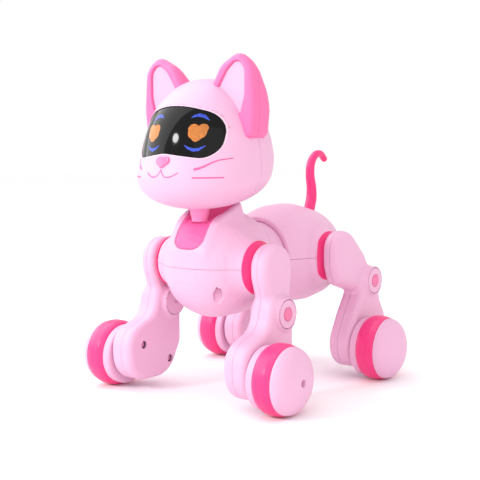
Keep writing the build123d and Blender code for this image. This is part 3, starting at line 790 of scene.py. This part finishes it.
def make_body(mats):
    chest = Skin(chest_shell, (-45, -90, 56), (45, 20, 151), 1.1)
    rump = Skin(rump_shell, (-45, 1, 56), (45, 106, 145), 1.1)
    for name, whole in (("chest", chest), ("rump", rump)):
        for part, keep in (("upper", 1), ("lower", -1)):
            half = whole.cut(2, HIP_Z + keep * SEAM_HALF_GAP, keep)
            half.piece(f"{name}_{part}", "chassis", "shell_pink", mats["shell"], f"{name}_{part}_shell")
    bib = Skin(bib_shape, (-22, -88, 108), (22, -30, 151), 0.6)
    # The bib's material has a painted glow, standing in for light in the shaded pit.
    bib.piece("bib", "chassis", "bib_pink", mats["bib"], "bib_panel")
    door = Skin(door_shape, (-16, 26, 58), (16, 72, 65), 0.7)
    door.piece("belly_door", "chassis", "shell_pink", mats["shell"], "battery_door")


# ---------------------------------------------------------------------------------------------------
# Tail
# ---------------------------------------------------------------------------------------------------

TAIL_LINE = [(82.5, 122), (82.5, 133), (86.2, 144), (86.6, 154), (84.4, 165), (85.8, 175.5), (92.5, 182.5),
             (100.5, 183.4), (106.7, 179.0)]
TAIL_RADII = [4.8, 4.8, 4.7, 4.3, 3.9, 3.7, 3.3, 3.0, 2.85]


def smooth_line(knots, steps):
    """Points on a smooth curve through the knots."""
    knots = np.array(knots, float)
    knots = np.concatenate(([2 * knots[0] - knots[1]], knots, [2 * knots[-1] - knots[-2]]))
    line = []
    for a, b, c, d in zip(knots, knots[1:], knots[2:], knots[3:]):
        for t in np.linspace(0, 1, steps, endpoint=False):
            line.append(0.5 * (2 * b + (c - a) * t + (2 * a - 5 * b + 4 * c - d) * t * t
                               + (3 * b - a - 3 * c + d) * t ** 3))
    return np.array(line + [knots[-2]])


def make_body_screws(mats):
    """The screws that close the body from below, in the breast and along the belly."""
    nodes = ("body_screws",)
    seats = [(*BREAST_SCREW, BREAST_SCREW_TOP)]
    seats += [(BELLY_SCREW_X, y, BELLY_SCREW_TOP) for y in (CHEST_BELLY_SCREW_Y, RUMP_BELLY_SCREW_Y)]
    for side_name, side in (("left", 1), ("right", -1)):
        for number, (x, y, seat) in enumerate(seats, 1):
            foot, top, radius = seat - SCREW_HEAD_LENGTH, seat + 0.1, SCREW_HEAD_R
            screw = [(foot, 0, 0), (foot, radius, 0.5), (top, radius, 0), (top, 0, 0)]
            # The screw heads take the screws' painted-shade material, which also carries a painted glow.
            turned_piece(f"{side_name}_body_screw_{number}", screw, 2, (side * x, y), "chassis",
                         "screw_steel", mats["shade"], *nodes)
            nodes = ()


def make_tail(mats):
    line = smooth_line([(y, z, r) for (y, z), r in zip(TAIL_LINE, TAIL_RADII)], 10)
    ways = np.gradient(line[:, :2], axis=0)
    ways /= np.linalg.norm(ways, axis=1)[:, None]
    rings = [(place, way, radius) for (*place, radius), way in zip(line.tolist(), ways)]
    end, way, radius = rings[-1]
    for a in np.linspace(0, pi / 2, 8)[1:-1]:
        rings.append((np.array(end) + way * radius * sin(a), way, radius * cos(a)))
    segments = 40
    points, faces = [], []
    for place, way, r in rings:
        for k in range(segments):
            a = 2 * pi * k / segments
            points.append((r * cos(a), place[0] - way[1] * r * sin(a), place[1] + way[0] * r * sin(a)))
    tip = np.array(end) + way * radius
    points += [(0, *tip), (0, *TAIL_LINE[0])]
    for ring in range(len(rings) - 1):
        for k in range(segments):
            n = (k + 1) % segments
            a, b = ring * segments, (ring + 1) * segments
            faces.append((a + k, a + n, b + n, b + k))
    last = (len(rings) - 1) * segments
    for k in range(segments):
        n = (k + 1) % segments
        faces.append((last + k, last + n, len(points) - 2))
        faces.append((n, k, len(points) - 1))
    mesh = bpy.data.meshes.new("curled_tail")
    mesh.from_pydata((np.array(points) * MM).tolist(), [], faces)
    bm = bmesh.new()
    bm.from_mesh(mesh)
    bmesh.ops.recalc_face_normals(bm, faces=bm.faces[:])
    bm.to_mesh(mesh)
    bm.free()
    mesh.shade_smooth()
    placed("curled_tail", mesh, "tail", "hot_pink_plastic", mats["hot"], "tail")


# ---------------------------------------------------------------------------------------------------
# Head
# ---------------------------------------------------------------------------------------------------

HEAD_WIDE_Z, HEAD_TOP, HEAD_BOTTOM, HEAD_R, HEAD_POWER = 172.0, 241.4, 144.0, 50.8, 2.12
HEAD_Y, HEAD_LEAN, HEAD_LEAN_TOP = -56.0, 0.32, 181.0
HEAD_SEAM_Y, EAR_SEAM_Y = -56.3, -61.0
VISOR = Outline([(-38.9, 212.5, 19), (0, 223.3, 80), (38.9, 212.5, 19), (38.9, 181, 12), (0, 186, 30),
                 (-38.9, 181, 12)])
VISOR_INSET, RIM_WIDTH, RIM_LIFT = 0.7, 1.0, 0.12
NOSE, NOSE_ROUND = Outline([(-3.6, 181, 0), (3.6, 181, 0), (0, 178.4, 0)]), 2.9
EAR_FRONT = Outline([(11, 231, 3), (22, 250.5, 16), (38.5, 259.5, 9), (51.2, 250, 16), (53.2, 220, 60),
                     (51, 196, 7), (42, 196, 6), (30, 222, 5)])
EAR_HOLLOW = Outline([(15, 226, 2), (29, 247.5, 20), (38.3, 254.5, 6), (45.2, 247, 10), (45, 228, 20),
                      (41, 214, 3), (28, 214, 2)])
EAR_BACK = Outline([(-90, 180, 0), (-90, 275, 0), (-60, 275, 0), (-56, 250, 12), (-46, 231, 30),
                    (-43.5, 217, 14), (-44, 180, 0)])
EAR_FRONT_Y, EAR_DEPTH = -69.5, 2.6
HEAD_WALL, NECK_HOLE_R = 2.6, 9.9
HEART = [(0, 197.5, 3.2), (1.6, 200.6, 4.4), (2.9, 203.6, 3.5)]
HEARTS = {"left": (23.0, 1.0), "right": (-15.2, 1.16)}
BROW = [(16.9, 211.5, 0.3), (18.6, 212.7, 0.9), (21.5, 213.3, 1.3), (24.7, 212.4, 1.1), (28.4, 209.5, 0.3)]
CHEEK = [(16.0, 191.8, 0.3), (18.4, 190.0, 0.8), (22.2, 188.5, 1.2), (25.6, 188.8, 1.1), (29.5, 191.4, 0.3)]
GAZE = 4.9              # the eyes look this far to the cat's left
MOUTH = [(-0.5, 175.4, 0.5), (0.9, 172.6, 0.5), (2.6, 170.2, 0.5), (5.1, 169.1, 0.5), (7.8, 169.1, 0.5),
         (10.7, 170.1, 0.5), (14.5, 172.2, 0.5)]
WHISKERS = [
    [(25.6, 174.8, 1.0), (28, 175.4, 0.9), (31.4, 177.2, 0.75), (34.5, 179.4, 0.6), (38.1, 181.3, 0.5),
     (43.7, 182.5, 0.4)],
    [(25, 168.8, 0.6), (41.3, 168.9, 0.5)],
]


def head_skin(p):
    x, y, z = p.T
    below = HEAD_LEAN_TOP - z
    centre = HEAD_Y - HEAD_LEAN * 0.5 * (below + np.sqrt(below ** 2 + 16))
    rho = np.hypot(x, y - centre) / HEAD_R
    rise = np.where(z > HEAD_WIDE_Z, (z - HEAD_WIDE_Z) / (HEAD_TOP - HEAD_WIDE_Z),
                    (HEAD_WIDE_Z - z) / (HEAD_WIDE_Z - HEAD_BOTTOM))
    n = HEAD_POWER
    size = np.maximum((rho ** n + np.abs(rise) ** n) ** (1 / n), 1e-3)
    slope_r = (rho / size) ** (n - 1) / HEAD_R
    slope_z = (np.abs(rise) / size) ** (n - 1) / np.where(z > HEAD_WIDE_Z, HEAD_TOP - HEAD_WIDE_Z,
                                                          HEAD_WIDE_Z - HEAD_BOTTOM)
    return (size - 1) / np.maximum(np.hypot(slope_r, slope_z), 1 / 75)


def visor_region(p):
    return np.maximum(VISOR(p[:, 0], p[:, 2]), p[:, 1] + 66)


def head_shell(p):
    skin = head_skin(p)
    shell = hollow(skin, HEAD_WALL)
    shell = without(shell, visor_region(p) - RIM_WIDTH / 2, 0.3)
    return without(shell, rod(p, 2, (0, NECK_Y), NECK_HOLE_R, 120, 152), 0.5)


def visor_shape(p):
    skin = head_skin(p)
    body = common(visor_region(p) - 0.3, skin + VISOR_INSET, 0.3)
    return without(body, skin + 3.0, 0.2)


def visor_rim_shape(p):
    """The thin frame that holds the visor in the head; its paler copy of the shell pink is a painted
    highlight along the visor's edge.
    """
    ring = between(visor_region(p), 0, RIM_WIDTH)
    return common(ring, between(head_skin(p), -2.2, RIM_LIFT), 0.35)


def on_face(p, flat, depth, low, high, r=0.1):
    """A flat outline seen from the front, laid as a thin layer at a depth under the head's surface."""
    layer = between(head_skin(p) + depth, low, high)
    return common(np.maximum(flat, p[:, 1] + 66), layer, r)


def heart_shape(p, side):
    middle, width = HEARTS[side]
    flat = stroke(np.abs(p[:, 0] - middle) / width, p[:, 2], HEART)
    return on_face(p, flat, VISOR_INSET, -0.4, 0.12)


def arcs_shape(p, side):
    x = p[:, 0] if side == "left" else 2 * GAZE - p[:, 0]
    flat = np.minimum(stroke(x, p[:, 2], BROW), stroke(x, p[:, 2], CHEEK))
    return on_face(p, flat, VISOR_INSET, -0.4, 0.12)


def mouth_shape(p):
    return on_face(p, stroke(np.abs(p[:, 0]), p[:, 2], MOUTH), 0, -0.5, 0.18, 0.15)


def whiskers_shape(p):
    flat = np.minimum(*[stroke(p[:, 0], p[:, 2], line) for line in WHISKERS])
    return on_face(p, flat, 0, -0.5, 0.2, 0.15)


def nose_shape(p):
    flat = NOSE(p[:, 0], p[:, 2]) - NOSE_ROUND
    return common(np.maximum(flat, p[:, 1] + 90), between(head_skin(p), -1.2, 1.3), 1.2)


def ear_shape(p):
    x, y, z = p.T
    ear = common(EAR_FRONT(x, z), EAR_BACK(y, z), 8.0)
    ear = common(ear, EAR_FRONT_Y - y, 4.5)
    ear = without(ear, common(EAR_HOLLOW(x, z), y - (EAR_FRONT_Y + EAR_DEPTH), 0.4), 0.8)
    return without(ear, head_skin(p) + 1.2, 0.2)


def ear_insert_shape(p):
    x, y, z = p.T
    floor_y = EAR_FRONT_Y + EAR_DEPTH
    pad = common(EAR_HOLLOW(x, z) + 0.15, between(y, floor_y - 0.6, floor_y + 1.2), 0.5)
    return without(pad, head_skin(p) + 1.2, 0.2)


def make_head(mats):
    head = Skin(head_shell, (-54, -112, 141), (54, -2, 244), 1.1)
    for part, keep in (("front", -1), ("back", 1)):
        half = head.cut(1, HEAD_SEAM_Y + keep * SEAM_HALF_GAP, keep)
        half.piece(f"head_{part}", "head", "shell_pink", mats["shell"], f"head_{part}_shell")
    visor = Skin(visor_shape, (-41, -110, 178), (41, -64, 224), 0.8)
    visor.piece("face_screen", "head", "visor_black", mats["visor"], "visor")
    rim = Skin(visor_rim_shape, (-42, -110, 178), (42, -64, 224), 0.45)
    # Drawn in a paler copy of the shell pink: a painted highlight along the rim.
    rim.piece("screen_rim", "head", "shell_pink", mats["pale"])
    nose = Skin(nose_shape, (-9, -112, 174), (9, -98, 187), 0.35)
    nose.piece("nose_pad", "head", "nose_pink", mats["nose"], "nose")
    mouth = Skin(mouth_shape, (-16, -112, 167), (16, -98, 177), 0.3, head_skin)
    mouth.piece("mouth_line", "head", None, mats["print"])
    whiskers = Skin(whiskers_shape, (23, -106, 167), (46, -78, 185), 0.35, head_skin)
    for side, middle in (("left", 23), ("right", -14)):
        heart = Skin(lambda p: heart_shape(p, side), (middle - 11, -112, 192), (middle + 11, -84, 209), 0.4,
                     head_skin)
        heart.piece(f"{side}_eye_heart", "head", None, mats["heart"])
        arcs = Skin(lambda p: arcs_shape(p, side), (middle - 10, -112, 185), (middle + 10, -84, 217), 0.35,
                    head_skin)
        arcs.piece(f"{side}_eye_arcs", "head", None, mats["arc"])
        shown = whiskers if side == "left" else whiskers.mirrored()
        shown.piece(f"{side}_whiskers", "head", None, mats["print"])
    ear = Skin(ear_shape, (8, -73, 190), (59, -36, 262), 0.7)
    insert = Skin(ear_insert_shape, (12, -70, 200), (50, -62, 260), 0.6)
    for part, keep in (("front", -1), ("back", 1)):
        half = ear.cut(1, EAR_SEAM_Y + keep * SEAM_HALF_GAP, keep)
        for side_name, skin in (("left", half), ("right", half.mirrored())):
            nodes = (f"{side_name}_ear_shell",) if part == "front" else ()
            skin.piece(f"{side_name}_ear_{part}", "head", "ear_pink", mats["ear"], *nodes)
    for side_name, skin in (("left", insert), ("right", insert.mirrored())):
        skin.piece(f"{side_name}_ear_pad", "head", "shell_pink", mats["shell"], f"{side_name}_ear_insert")


def make_neck(mats):
    """A short stem under the chin that narrows down to the pit in the bib."""
    foot, top = NECK_FOOT_R, NECK_TOP_R
    stem = [(134.6, 0, 0), (134.6, foot, 0.3), (136, foot, 3), (148, top, 2), (150, top + 1, 0.5),
            (151, top + 1, 0.3), (151, 0, 0)]
    # The stem's material carries a painted glow.
    turned_piece("neck_stem", stem, 2, (0, NECK_Y), "head", "rose_plastic", mats["neck"], "neck_post")


def dress_cad(mats):
    """Finishes for the CAD nodes that stay."""
    finish = {
        "power_switch": "hot", "speaker": "dark", "battery_pack": "wrap",
        "main_board": "board", "eye_display": "board", "hip_gearmotors": "motor", "head_gearmotor": "motor",
    }
    for leg in LEGS:
        finish[f"{leg}_wheel_gearmotor"] = "motor"
        # The leg screws get the same painted shade and painted glow.
        finish[f"{leg}_leg_screws"] = "shade"
    for node, key in finish.items():
        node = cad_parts[node]
        node.data.materials.clear()
        node.data.materials.append(mats[key])


def make_materials():
    return {
        "shell": moulded("shell_pink_plastic", (0.78, 0.43, 0.61)),
        # A paler copy of the shell pink: a painted highlight for the visor's rim.
        "pale": moulded("shell_pink_painted_highlight", (0.80, 0.56, 0.69)),
        "ear": moulded("ear_pink_plastic", (0.86, 0.16, 0.39), 0.45, bump=0.01),
        "hot": moulded("hot_pink_plastic", (0.85, 0.035, 0.20), 0.35),
        "rose": moulded("rose_plastic", (0.80, 0.18, 0.36)),
        # The bib carries a painted glow that lifts the shaded pit round the neck.
        "bib": moulded("bib_plastic_painted_glow", (0.68, 0.09, 0.28), painted_glow=0.28),
        # The neck carries a painted glow too, lifting it out of the head's shade.
        "neck": moulded("neck_plastic_painted_glow", (0.86, 0.22, 0.46), painted_glow=0.12),
        "nose": moulded("nose_plastic", (0.88, 0.15, 0.36), 0.2, 0.5),
        "print": moulded("face_print_ink", (0.72, 0.12, 0.32)),
        "heart": moulded("heart_print", (0.58, 0.20, 0.05), 0.08, bump=0.0, specular=0.16),
        "arc": moulded("blue_print", (0.05, 0.09, 0.55), 0.08, bump=0.0, specular=0.16),
        "tyre": moulded("tyre_rubber", (0.85, 0.04, 0.21), 0.35),
        "visor": moulded("visor_plastic", (0.004, 0.004, 0.004), 0.07, bump=0.0, specular=0.16),
        # Dusky pink with a glow for screws deep in their holes: painted shade in the colour, painted light in
        # the glow.
        "shade": moulded("screw_painted_shade_and_glow", (0.45, 0.15, 0.27), 0.5, painted_glow=0.3),
        "dark": moulded("dark_plastic", (0.03, 0.03, 0.03), 0.5),
        "wrap": moulded("battery_wrap", (0.03, 0.10, 0.30), 0.35, 0.2),
        "board": moulded("circuit_board", (0.02, 0.16, 0.06), 0.4, 0.3),
        "motor": moulded("motor_casing", (0.30, 0.30, 0.32), 0.35),
    }


materials = make_materials()
make_camera()
make_lights()
make_floor()
make_legs(materials)
make_body(materials)
make_body_screws(materials)
make_tail(materials)
make_head(materials)
make_neck(materials)
dress_cad(materials)
